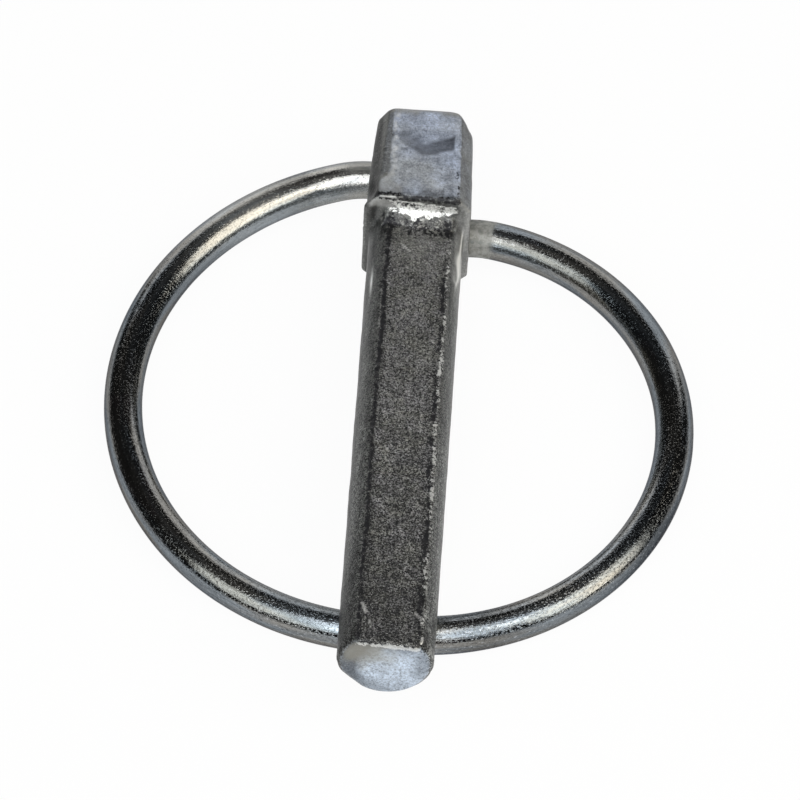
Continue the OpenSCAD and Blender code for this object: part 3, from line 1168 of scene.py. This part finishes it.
class PinMarks:
    """Finds the regions of the forging that differ in shape, colour or wear, and where light is
    painted.

    Places are in millimetres: x across, y up from the shoulder and z out to the front, in the
    axes of the shank. hx, hy and hz are the same in the axes of the head.
    """

    def __init__(self, pin: ForgedPin, points: np.ndarray) -> None:
        """Finds the places and the uneven fields that the regions share.

        Args:
            pin: The forging, which gives the sizes and the wear.
            points: The vertices in the frame, one row each.
        """
        self.pin = pin
        self.head = pin.lie.to_pin(points, pin.head_turn)
        self.shank = pin.lie.to_pin(points, pin.shank_turn)
        self.wave = Grain(5)
        self.wander = 0.15 * self.wave.rough(self.shank * (0, 1, 0), 4.3, 4)
        self.blot = 0.35 * self.wave.rough(self.head, 1.1, 3)
        self.ragged = smooth_step(self.wave.rough(self.shank * (0.4, 1, 0.4), 1.5, 4), -0.35, 0.55)
        self.pitted = 0.35 + 0.65 * smooth_step(self.wave.rough(self.shank, 0.7, 3), -0.5, 0.2)
        _, y, z = self.shank.T
        self.half_flat = math.sqrt(pin.shank_radius**2 - pin.flat_height**2)
        self.on_shank = pin.shank_wear.top.on(self.shank)
        self.on_flat = self.on_shank * smooth_step(z, pin.flat_height - 0.35, pin.flat_height - 0.1)
        self.near_head = pin.shank_wear.near_head.on(self.shank)
        self.end = smooth_step(y, 0.35 - pin.shank_length, 0.05 - pin.shank_length)
        self.end *= smooth_step(z, *pin.shank_wear.end_brim)
        frayed = self.head[:, Axis.OUT] + 0.07 * self.wave.rough(self.head + 9.0, 0.9, 3)
        self.front = smooth_step(frayed, pin.face_height - 0.30, pin.face_height - 0.06)
        wider = pin.head_wear.face_widens.on(self.head)
        self.face_left = pin.head_wear.face_left - wider + 0.5 * self.blot
        self.brow = z + 2.0 * self.wander + 0.15 * self.wave.rough(self.shank, 0.8, 2)

    def flat(self) -> np.ndarray:
        """Finds the flat along the front of the shank.

        Returns:
            The mask.
        """
        edge = np.abs(self.shank[:, Axis.ACROSS])
        return self.on_flat * smooth_step(edge, self.half_flat + 0.1, self.half_flat - 0.25)

    def head_face(self) -> np.ndarray:
        """Finds the pale plate of the face, which is thin beside it and on the right facet.

        Returns:
            The mask.
        """
        wear = self.pin.head_wear
        hx = self.head[:, Axis.ACROSS]
        inner = smooth_step(hx, self.face_left - 0.15, self.face_left + 0.15)
        facet = wear.facet.on(self.head) * smooth_step(self.blot, -0.5, 0.2)
        thin = np.maximum(facet, 0.28 * self.front * (1.0 - inner))
        return np.maximum(self.front * wear.face_foot.on(self.head) * inner, thin)

    def dent(self) -> np.ndarray:
        """Finds the hammered dent across the face.

        Returns:
            The mask.
        """
        away, walked = beside(self.head[:, :2], self.pin.dent_line)
        reach = 0.60 + 0.35 * walked + 0.5 * self.blot
        deep = (0.45 + 0.55 * walked) * self.pin.head_wear.dent_end.on(self.head)
        return self.front * smooth_step(away, reach + 0.35, reach - 0.30) * deep

    def cool(self) -> np.ndarray:
        """Finds where the face turns bluish, toward its upper right.

        Returns:
            The mask.
        """
        hx, hy, _ = self.head.T
        return smooth_step(hy + 0.9 * hx + 3.0 * self.blot, *self.pin.head_wear.cool)

    def coarse(self) -> np.ndarray:
        """Finds how coarse the grain is, which grows along the shank.

        Returns:
            The mask.
        """
        worked = 0.45 + self.pin.shank_wear.coarse.on(self.shank)
        return 0.12 + self.on_shank * (1.0 - self.end) * worked

    def stain(self) -> np.ndarray:
        """Finds the brownish stains on the crown, the face's foot and the end.

        Returns:
            The mask.
        """
        shank_wear, wear = self.pin.shank_wear, self.pin.head_wear
        crown = smooth_step(self.head[:, Axis.UP] + 1.2 * self.blot, *wear.crown_stain)
        on_end = self.shank[:, [Axis.ACROSS, Axis.OUT]] - shank_wear.end_stain
        on_face = self.head[:, [Axis.ACROSS, Axis.UP]] - wear.rust_spot
        spot = np.hypot(*(on_end / shank_wear.end_stain_size).T) + 0.9 * self.blot
        rust = np.hypot(*(on_face / wear.rust_size).T) + 1.5 * self.blot
        return 0.55 * self.front * crown + np.maximum(
            0.75 * self.end * smooth_step(spot, 1.65, 0.3),
            0.45 * self.front * smooth_step(rust, 1.2, 0.4),
        )

    def shine(self) -> np.ndarray:
        """Finds the painted highlights, mostly at the shoulder, and the paler upper flat and face
        edge.

        Returns:
            The mask.
        """
        shank, wear, head_wear = self.shank, self.pin.shank_wear, self.pin.head_wear
        line = wear.gleam_x + 0.02 * shank[:, Axis.UP] + 1.4 * self.wander
        gleam = ridge(shank[:, Axis.ACROSS], line, 0.08 + wear.gleam_swell.on(shank))
        gleam *= wear.gleam.on(shank)
        glints = gleam + wear.left_glint.on(shank) + wear.fillet.on(shank)
        shine = glints * wear.front_half.on(shank)
        shine += wear.right_cheek.on(shank) + wear.left_cheek.on(shank)
        shine += wear.left_ledge.on(shank) * head_wear.left_ledge_top.on(self.head)
        shine += self.ragged * wear.right_band.on(shank) + self.on_flat * wear.flat_top.on(shank)
        edge = self.front * ridge(self.head[:, Axis.ACROSS], self.face_left + 0.45, 0.32)
        edge *= smooth_step(self.wave.rough(self.head + 21.0, 0.7, 3), -0.3, 0.4)
        return np.clip(np.maximum(shine, edge * head_wear.face_edge.on(self.head)), 0.0, 1.0)

    def burr(self) -> np.ndarray:
        """Finds the burrs along the flat's right edge and the end's brim, their crests painted as
        highlights.

        Returns:
            The mask, which rises to 1 along the middle of each burr.
        """
        x, y, z = self.shank.T
        wear, tip = self.pin.shank_wear, -self.pin.shank_length
        edge = ridge(x, self.half_flat - 0.14 + self.wander, 0.38)
        edge *= (0.66 + 0.34 * self.ragged) * (1.0 - 0.5 * self.near_head)
        edge *= 1.0 - wear.burr_thins.on(self.shank)
        brim_line = wear.end_brim[1] + 0.05 * self.wave.rough(self.shank * (1, 0, 0), 1.6, 3)
        brim = 1.08 * ridge(z, brim_line, 0.40) * smooth_step(y, tip + 0.20, tip + 0.10)
        brim *= 0.90 + 0.20 * smooth_step(x, -1.5, 0.5)
        return np.maximum(self.on_flat * edge, brim)

    def seam(self) -> np.ndarray:
        """Finds the thin lines of painted shade along both edges of the flat.

        Returns:
            The mask, which rises to 1 along the middle of each seam.
        """
        x = self.shank[:, Axis.ACROSS]
        left = ridge(x, 0.30 - self.half_flat + self.wander, 0.50)
        left *= 0.88 + self.pin.shank_wear.seam_grows.on(self.shank)
        right = ridge(x, self.half_flat - 0.5 + self.wander, 0.62)
        right *= 0.60 + 0.32 * (1.0 - self.ragged)
        return self.on_flat * np.maximum(left, right)

    def cracks(self) -> np.ndarray:
        """Finds the cracks along the flat's edges and the patches below the head, painted as shade.

        Returns:
            The mask.
        """
        x, wear = self.shank[:, Axis.ACROSS], self.pin.shank_wear
        left = ridge(x, 0.30 - self.half_flat + self.wander, 0.26 + 0.26 * self.near_head)
        left *= 0.75 + wear.crack_grows.on(self.shank)
        right = ridge(x, self.half_flat - 0.40 + self.wander, 0.17 + 0.3 * self.near_head)
        right *= 1.1 - self.ragged
        under_step_shade = smooth_step(self.wave.rough(self.shank * (0.8, 1.3, 1), 0.9, 4), 0.0, 0.25)
        crack_shade = 0.8 * self.pitted * (left + right) + 0.6 * under_step_shade * wear.under_step_shade.on(self.shank)
        return self.on_flat * np.clip(crack_shade, 0.0, 0.85)

    def lip(self) -> np.ndarray:
        """Finds the painted shade under the face's lip, and the dark chips at the face's right
        edge.

        Returns:
            The mask.
        """
        wear, (hx, hy, _) = self.pin.head_wear, self.head.T
        sag = 0.08 + wear.lip_sags.on(self.head) + 0.6 * self.wander
        sag += 0.10 * self.wave.rough(self.head * (1, 0, 0), 0.7, 3)
        lip = ridge(hy, sag, 0.27) * wear.lip.on(self.head)
        chips = ridge(hx, wear.face_right + 1.3 * self.wander, 0.20) * wear.chips.on(self.head)
        chips *= self.front * self.ragged * self.pitted
        return np.maximum.reduce((lip, wear.under_lip.on(self.head), chips))

    def gutter(self) -> np.ndarray:
        """Finds the painted shade in the gutter where the step meets the flat, and in the step's
        notch.

        Returns:
            The mask.
        """
        wear, (x, _, z) = self.pin.shank_wear, self.shank.T
        gutter_grain = self.wave.rough(self.shank * (0.6, 1, 1) + 5.0, 1.1, 3)
        gutter = wear.gutter.on(self.shank) * ridge(self.brow, *wear.gutter_line)
        gutter *= 0.5 + 0.5 * smooth_step(gutter_grain, -0.4, 0.3)
        gutter *= smooth_step(np.abs(x), *wear.gutter_reach)
        gutter *= 1.0 - wear.gutter_gap.on(self.shank)
        notch = wear.notch.on(self.shank) * ridge(z + 0.1 * x, *wear.notch_line)
        return np.maximum(gutter, notch)

    def step(self) -> np.ndarray:
        """Finds the torn band of painted highlight on the step under the head.

        Returns:
            The mask.
        """
        wear, (x, y, _) = self.pin.shank_wear, self.shank.T
        frill = 0.35 * self.wave.rough(self.shank * (0.5, 1, 1), 0.9, 3)
        frill += wear.step_tongue.on(self.shank)
        frill -= sum(bay.on(self.shank) for bay in wear.step_bays)
        arch = smooth_step(self.brow + 0.15 - 0.06 * x**2, *wear.step_foot)
        torn = smooth_step(y + frill, *wear.step_edge) * smooth_step(self.brow, *wear.step_brow)
        return wear.step.on(self.shank) * torn * arch

    def flat_darkening(self) -> np.ndarray:
        """Finds where the flat is darker: along its edges and toward the tip.

        Returns:
            The mask.
        """
        wear = self.pin.shank_wear
        edges = smooth_step(np.abs(self.shank[:, Axis.ACROSS]), *wear.flat_edges)
        edges *= 0.7 + 0.6 * self.wave.rough(self.shank, 2.4, 3)
        edges = 0.38 * np.clip(edges, 0.0, 1.0) * (1.0 - wear.flat_edges_clear.on(self.shank))
        low = wear.flat_low.on(self.shank) + wear.flat_foot.on(self.shank)
        return self.flat() * (low + edges)

    def end_shade(self) -> np.ndarray:
        """Finds the painted shade of the end, darker toward its border, its brim and its right.

        Returns:
            The mask.
        """
        wear, (x, _, z) = self.pin.shank_wear, self.shank.T
        radius = np.hypot(x, z)
        border = 0.60 + (0.15 * z - 0.40 * x) / np.maximum(radius, 1.0)
        border *= 1.15 * smooth_step(radius + 0.8 * self.blot, *wear.end_border)
        brim = 0.50 * smooth_step(z + self.blot, *wear.end_top)
        right = 0.65 * smooth_step(x + self.blot, *wear.end_right) * smooth_step(z, -2.5, 0.0)
        return self.end * np.maximum.reduce((border, brim, right))

    def shade_and_darkening(self) -> np.ndarray:
        """Finds where the skin is darker, with painted shade in the head's corners and left side,
        below the head and on the end.

        Returns:
            The mask.
        """
        wear, head_wear = self.pin.shank_wear, self.pin.head_wear
        y, hy = self.shank[:, Axis.UP], self.head[:, Axis.UP]
        shade_below_head = self.on_flat * wear.shade_below_head.on(self.shank)
        shade_below_head *= smooth_step(self.wave.rough(self.shank, 1.6, 3), -0.1, 0.5)
        tip = wear.tip_side.on(self.shank) * (1.0 - self.end)
        tip *= smooth_step(y + 2.5 * self.wander, *wear.tip_darkening)
        # The head's corner and left side, the shank's left side, the flat below the head and the
        # end are painted shade; the rest is darker skin.
        regions = (
            head_wear.corner.on(self.head),
            head_wear.side.on(self.head),
            0.50 * self.front * smooth_step(hy + 1.6 * self.blot, *head_wear.hem_darkening),
            0.60 * smooth_step(hy + 1.2 * self.blot, *head_wear.crown_darkening),
            wear.flank.on(self.shank),
            wear.left_shade.on(self.shank),
            shade_below_head,
            tip,
            self.flat_darkening(),
            self.end_shade(),
        )
        return np.clip(np.maximum.reduce(regions), 0.0, 1.0)

    def scratch(self) -> np.ndarray:
        """Finds the few scratches and nicks of the flat.

        Returns:
            The mask.
        """
        found = np.zeros(len(self.shank))
        smear = smooth_step(Grain(7).rough(self.shank, 0.6, 3), -0.5, 0.3)
        for start, stop, width in self.pin.scratch_lines:
            away, _ = beside(self.shank[:, :2], (start, stop))
            found = np.maximum(found, smear * smooth_step(away, width, 0.2 * width))
        return self.on_flat * found

    def all(self) -> dict[Mask, np.ndarray]:
        """Finds all the regions.

        Returns:
            The masks, each with one value for each vertex.
        """
        return {
            Mask.FLAT: self.flat(),
            Mask.HEAD_FACE: self.head_face(),
            Mask.DENT: self.dent(),
            Mask.HEAD: smooth_step(self.head[:, Axis.UP], -0.5, 0.3),
            Mask.TIP_FACE: self.end,
            Mask.STAIN: self.stain(),
            Mask.HIGHLIGHT: self.shine(),
            Mask.BURR: self.burr(),
            Mask.SEAM_SHADE: self.seam(),
            Mask.CREVICE: np.maximum.reduce((self.cracks(), self.lip(), self.gutter())),
            Mask.COOL: self.cool(),
            Mask.COARSE: self.coarse(),
            Mask.SCRATCH: self.scratch(),
            Mask.STEP_HIGHLIGHT: self.step(),
            Mask.SHADE_AND_DARKENING: self.shade_and_darkening(),
        }


@dataclass
class SpringRing:
    """The round wire ring, whose two ends turn into the head at different heights.

    Sizes are in millimetres and angles in radians. A stretch gives its middle along the wire, from
    the end in the high hole, and its half width. A fade gives where it starts and where it is full,
    from that end too, but end_fade from the other end.
    """

    node: str = "spring_ring"
    lie: Lie = field(default_factory=Lie)
    wire_radius: float = 2.0
    length: float = 57.8
    end_step: float = 7.2
    foot_left: float = 0.5
    foot_right: float = 2.7
    end_bend: float = 10.0
    bend_x: float = 5.85
    end_x: float = 0.65
    foot_y: float = -47.3359
    foot_z: float = -7.65
    lean: float = math.radians(5.27276)
    spacing: float = 0.26
    sides: int = 96
    root_length: float = 2.3
    # Painted highlight.
    highlight_stretch: tuple[float, float] = (19.0, 6.5)
    milky_stretch: tuple[float, float] = (84.5, 5.0)
    # Painted shadow of the shank on the wire, and painted shade over a highlight.
    shaded_stretch: tuple[float, float] = (102.0, 3.5)
    shade_over_highlight_stretch: tuple[float, float] = (122.5, 6.5)
    above_fade: tuple[float, float] = (8.5, 6.5)
    # Painted highlight near the end in the high hole.
    root_highlight_fade: tuple[float, float] = (13.0, 9.0)
    hazy_fade: tuple[float, float] = (20.0, 10.0)
    end_fade: tuple[float, float] = (26.0, 14.0)
    wobble_depth: float = 0.012
    wobble_size: float = 6.0
    coarse_turn: float = math.radians(75.0)
    finish: PlatedWire = field(default_factory=PlatedWire)

    def half(self, foot: float, height: float) -> np.ndarray:
        """Walks one half of the wire, from the foot to its end in the head.

        Args:
            foot: Where the straight foot stops, across.
            height: How far up the end lies.

        Returns:
            Points in the plane of the ring, one row each.
        """
        reach, rise = self.bend_x - foot, height - 2.0 * self.end_bend
        radius = self.end_bend + (rise * rise + reach * reach) / (2.0 * rise)
        bend = math.asin(reach / (radius - self.end_bend))
        big = np.linspace(-math.pi / 2, math.pi / 2 - bend, 720)
        small = np.linspace(math.pi / 2 - bend, math.pi / 2, 40)
        arc = np.stack([foot + radius * np.cos(big), radius + radius * np.sin(big)], axis=1)
        turn = np.stack(
            [
                self.bend_x + self.end_bend * np.cos(small),
                height - self.end_bend + self.end_bend * np.sin(small),
            ],
            axis=1,
        )
        return np.concatenate([arc, turn[1:], [(self.end_x, height)]])

    def centreline(self) -> tuple[np.ndarray, np.ndarray]:
        """Walks the whole wire in even steps.

        Returns:
            The points in the plane of the ring, and the length walked at each.
        """
        right = self.half(self.foot_right, self.length - self.end_step)
        left = self.half(self.foot_left, self.length) * (-1.0, 1.0)
        line = np.concatenate([left[::-1], right])
        walked = np.concatenate([[0.0], np.cumsum(np.linalg.norm(np.diff(line, axis=0), axis=1))])
        even = np.linspace(0.0, walked[-1], int(walked[-1] / self.spacing))
        points = np.stack([np.interp(even, walked, line[:, k]) for k in range(2)], axis=1)
        return points, even

    def tube(self) -> Surface:
        """Sweeps the wire round its line.

        Returns:
            The surface, with its place along and round the wire as masks.
        """
        line, along = self.centreline()
        ahead = np.gradient(line, along, axis=0)
        ahead /= np.linalg.norm(ahead, axis=1, keepdims=True)
        side = np.stack([-ahead[:, 1], ahead[:, 0]], axis=1)
        angle = np.linspace(0.0, 2.0 * math.pi, self.sides, endpoint=False)
        across, up = np.cos(angle) * self.wire_radius, np.sin(angle) * self.wire_radius
        rings = np.zeros((len(line), self.sides, 3))
        rings[:, :, :2] = line[:, None] + side[:, None] * across[:, None]
        rings[:, :, 2] = up
        c, s = math.cos(self.lean), math.sin(self.lean)
        x, y, z = rings.reshape(-1, 3).T
        leant = np.stack([x, self.foot_y + c * y - s * z, self.foot_z + s * y + c * z], axis=1)
        rows = np.arange(len(line) - 1)[:, None] * self.sides
        first = np.arange(self.sides)
        after = (first + 1) % self.sides
        faces = np.stack(
            [rows + first, rows + self.sides + first, rows + self.sides + after, rows + after],
            axis=-1,
        ).reshape(-1, 4)
        surface = Surface(self.lie.to_frame(leant), faces)
        surface.masks[Mask.ALONG] = np.repeat(along, self.sides)
        surface.masks[Mask.ROUND_X] = np.tile(across, len(line))
        surface.masks[Mask.ROUND_Y] = np.tile(up, len(line))
        return surface

    def wear(self, surface: Surface) -> None:
        """Marks the dull and the coarse stretches of the wire, and where highlights and shade are
        painted.

        Args:
            surface: The surface, which gets the masks.
        """
        along, outer = surface.masks[Mask.ALONG], surface.masks[Mask.ROUND_X]
        wander = 0.35 * Grain(23).rough(surface.points, 0.9, 3)
        bare = along[-1] - (self.bend_x - self.end_x) - self.root_length
        root = smooth_step(along + wander, bare - 0.35, bare + 0.35)
        hazy = 0.45 * smooth_step(along + 3.0 * wander, *self.hazy_fade)
        hazy *= smooth_step(outer + 0.5 * wander, 1.35, 1.8)
        above = 0.55 * smooth_step(outer + 0.3 * wander, 0.7, 0.1)
        above *= smooth_step(along + wander, *self.above_fade)
        milky = 0.45 * ridge(along + 2.0 * wander, *self.milky_stretch)
        milky *= smooth_step(outer + wander, 0.2, 0.9)
        # Painted highlights: the colour is raised along these two stretches.
        highlit = ridge(along + 3.0 * wander, *self.highlight_stretch)
        root_highlight = smooth_step(along + 2.0 * wander, *self.root_highlight_fade)
        # Painted shade: over a highlight, and the shank's shadow on the wire.
        shade_over_highlight = 0.75 * ridge(along + 2.0 * wander, *self.shade_over_highlight_stretch)
        shade_over_highlight *= smooth_step(outer + 0.5 * wander, 0.5, -0.1)
        shaded = 0.45 * ridge(along + wander, *self.shaded_stretch)
        near_end = 0.3 * smooth_step(along[-1] - along, *self.end_fade)
        turn = np.arctan2(surface.points[:, 1], surface.points[:, 0]) + self.coarse_turn
        surface.masks[Mask.ROOT] = np.maximum.reduce((root, hazy, above, milky, 0.22 * highlit))
        surface.masks[Mask.HIGHLIGHT] = np.maximum(0.8 * highlit, root_highlight)
        surface.masks[Mask.SHADE_AND_DARKENING] = np.maximum(shade_over_highlight, shaded)
        surface.masks[Mask.COARSE] = np.maximum(smooth_step(np.cos(turn), 0.1, 0.9), near_end)

    def close_ends(self, piece: bpy.types.Object) -> None:
        """Caps the two cut ends of the wire.

        Args:
            piece: The wire, which is changed.
        """
        work = bmesh.new()
        work.from_mesh(piece.data)
        bmesh.ops.holes_fill(work, edges=[e for e in work.edges if e.is_boundary], sides=0)
        bmesh.ops.recalc_face_normals(work, faces=work.faces[:])
        work.to_mesh(piece.data)
        work.free()

    def build(self) -> bpy.types.Object:
        """Builds and dresses the ring.

        Returns:
            The piece.
        """
        surface = self.tube()
        self.wear(surface)
        wobble = self.wobble_depth * (Grain(31).rough(surface.points, self.wobble_size, 2) - 1.0)
        surface.points = surface.points + wobble[:, None] * surface.normals()
        surface.keep_in(self.node)
        piece = surface.to_object("spring_ring_wire")
        self.close_ends(piece)
        piece.data.materials.append(self.finish.material())
        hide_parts(self.node)
        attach(piece, Body.RING.value)
        return piece


@dataclass(frozen=True)
class Lamp:
    """A soft lamp that faces the part, in metres and watts."""

    name: str
    toward: tuple[float, float, float]
    size: tuple[float, float]
    power: float
    colour: tuple[float, float, float] = (1.0, 1.0, 1.0)
    distance: float = 0.9

    def build(self, target: np.ndarray) -> bpy.types.Object:
        """Hangs the lamp.

        Args:
            target: The place that it faces, in metres.

        Returns:
            The lamp.
        """
        data = bpy.data.lights.new(self.name, "AREA")
        data.shape = "RECTANGLE"
        data.size, data.size_y = self.size
        data.energy = self.power
        data.color = self.colour
        lamp = bpy.data.objects.new(self.name, data)
        way = np.array(self.toward) / np.linalg.norm(self.toward)
        lamp.location = target + way * self.distance
        lamp.visible_camera = False
        lamp.rotation_euler = Vector(way).to_track_quat("Z", "Y").to_euler()
        bpy.context.scene.collection.objects.link(lamp)
        return lamp


@dataclass
class Studio:
    """The floor, the soft room, the lamps and the camera.

    Places are in metres, the lens in millimetres and the camera's turn in degrees.
    """

    floor_size: float = 12.0
    floor_paint: float = 0.85
    floor_white: float = 0.95
    zenith: float = 0.15
    wall: float = 0.022
    horizon: float = 0.7
    horizon_height: float = 0.02
    wall_heights: tuple[float, float] = (0.08, 0.85)
    lens: float = 425.7
    camera_place: tuple[float, float, float] = (0.046356, -0.596743, 0.791063)
    camera_turn: tuple[float, float, float] = (37.38983, 0.938975, 3.18005)
    part_middle: tuple[float, float, float] = (0.0, 0.0, 0.007)
    lamps: tuple[Lamp, ...] = (
        Lamp("key_lamp", (0.678, -0.331, 0.656), (0.73, 0.80), 5.3, (1.0, 0.95, 0.84)),
        Lamp("front_lamp", (0.051, -0.585, 0.809), (0.66, 1.00), 4.9, (0.94, 0.97, 1.0)),
        Lamp("left_lamp", (-0.462, -0.551, 0.695), (0.80, 0.66), 2.6, (0.95, 1.0, 0.99)),
        Lamp("back_wall", (0.05, 0.92, 0.37), (1.30, 0.62), 2.7),
    )

    def paint(self) -> bpy.types.Material:
        """Mixes the floor's finish, which looks white and still takes the part's shadow.

        Returns:
            The material.
        """
        material = bpy.data.materials.new("pale_floor")
        material.use_nodes = True
        material.node_tree.nodes.clear()
        work = Nodes(material.node_tree)
        path = work.node("ShaderNodeLightPath", {}).outputs
        mirrored = work.calc("MAXIMUM", path["Is Glossy Ray"], path["Is Transmission Ray"])
        seen = work.calc("MAXIMUM", path["Is Camera Ray"], mirrored)
        glow = work.node("ShaderNodeEmission", {})
        paint = work.node("ShaderNodeBsdfDiffuse", {"Color": (*(self.floor_paint,) * 3, 1.0)})
        mix = work.node(
            "ShaderNodeMixShader",
            {0: work.times(seen, self.floor_white), 1: paint.outputs[0], 2: glow.outputs[0]},
        )
        work.node("ShaderNodeOutputMaterial", {"Surface": mix.outputs[0]})
        return material

    def floor(self) -> bpy.types.Object:
        """Lays the floor.

        Returns:
            The floor.
        """
        half = self.floor_size / 2.0
        mesh = bpy.data.meshes.new("floor")
        corners = [(-half, -half, 0), (half, -half, 0), (half, half, 0), (-half, half, 0)]
        mesh.from_pydata(corners, [], [(0, 1, 2, 3)])
        mesh.materials.append(self.paint())
        floor = bpy.data.objects.new("floor", mesh)
        bpy.context.scene.collection.objects.link(floor)
        return floor

    def room(self) -> None:
        """Lights the room softly: pale at the horizon, dark at the walls, grey overhead."""
        world = bpy.data.worlds.new("room")
        bpy.context.scene.world = world
        world.use_nodes = True
        work = Nodes(world.node_tree)
        place = work.node("ShaderNodeTexCoord", {}).outputs["Generated"]
        height = work.node("ShaderNodeSeparateXYZ", {0: place}).outputs["Z"]
        ramp = work.node("ShaderNodeValToRGB", {0: height})
        stops = ramp.color_ramp.elements
        stops[0].position, stops[0].color = self.horizon_height, (self.horizon,) * 3 + (1,)
        stops[1].position, stops[1].color = 1.0, (self.zenith,) * 3 + (1,)
        for wall_height in self.wall_heights:
            stops.new(wall_height).color = (self.wall,) * 3 + (1,)
        work.feed(work.tree.nodes["Background"].inputs["Color"], ramp.outputs[0])

    def camera(self) -> bpy.types.Object:
        """Stands the camera.

        Returns:
            The camera.
        """
        data = bpy.data.cameras.new("camera")
        data.lens = self.lens
        data.sensor_width = 36.0
        data.clip_end = 100.0
        camera = bpy.data.objects.new("camera", data)
        camera.location = self.camera_place
        camera.rotation_euler = Euler([math.radians(a) for a in self.camera_turn])
        bpy.context.scene.collection.objects.link(camera)
        bpy.context.scene.camera = camera
        return camera

    def build(self) -> None:
        """Sets up the floor, the room, the lamps and the camera."""
        bpy.context.scene.view_settings.view_transform = "Standard"
        self.floor()
        self.room()
        for lamp in self.lamps:
            lamp.build(np.array(self.part_middle))
        self.camera()


def write_sizes() -> None:
    bpy.context.view_layer.update()


def main() -> None:
    """Builds the pieces and the studio in order."""
    logging.basicConfig(level=logging.INFO, format="%(message)s")
    for part in (ForgedPin(), SpringRing()):
        piece = part.build()
        LOG.info("%s: %d faces", piece.name, len(piece.data.polygons))
    Studio().build()
    write_sizes()


if __name__ == "__main__":
    main()
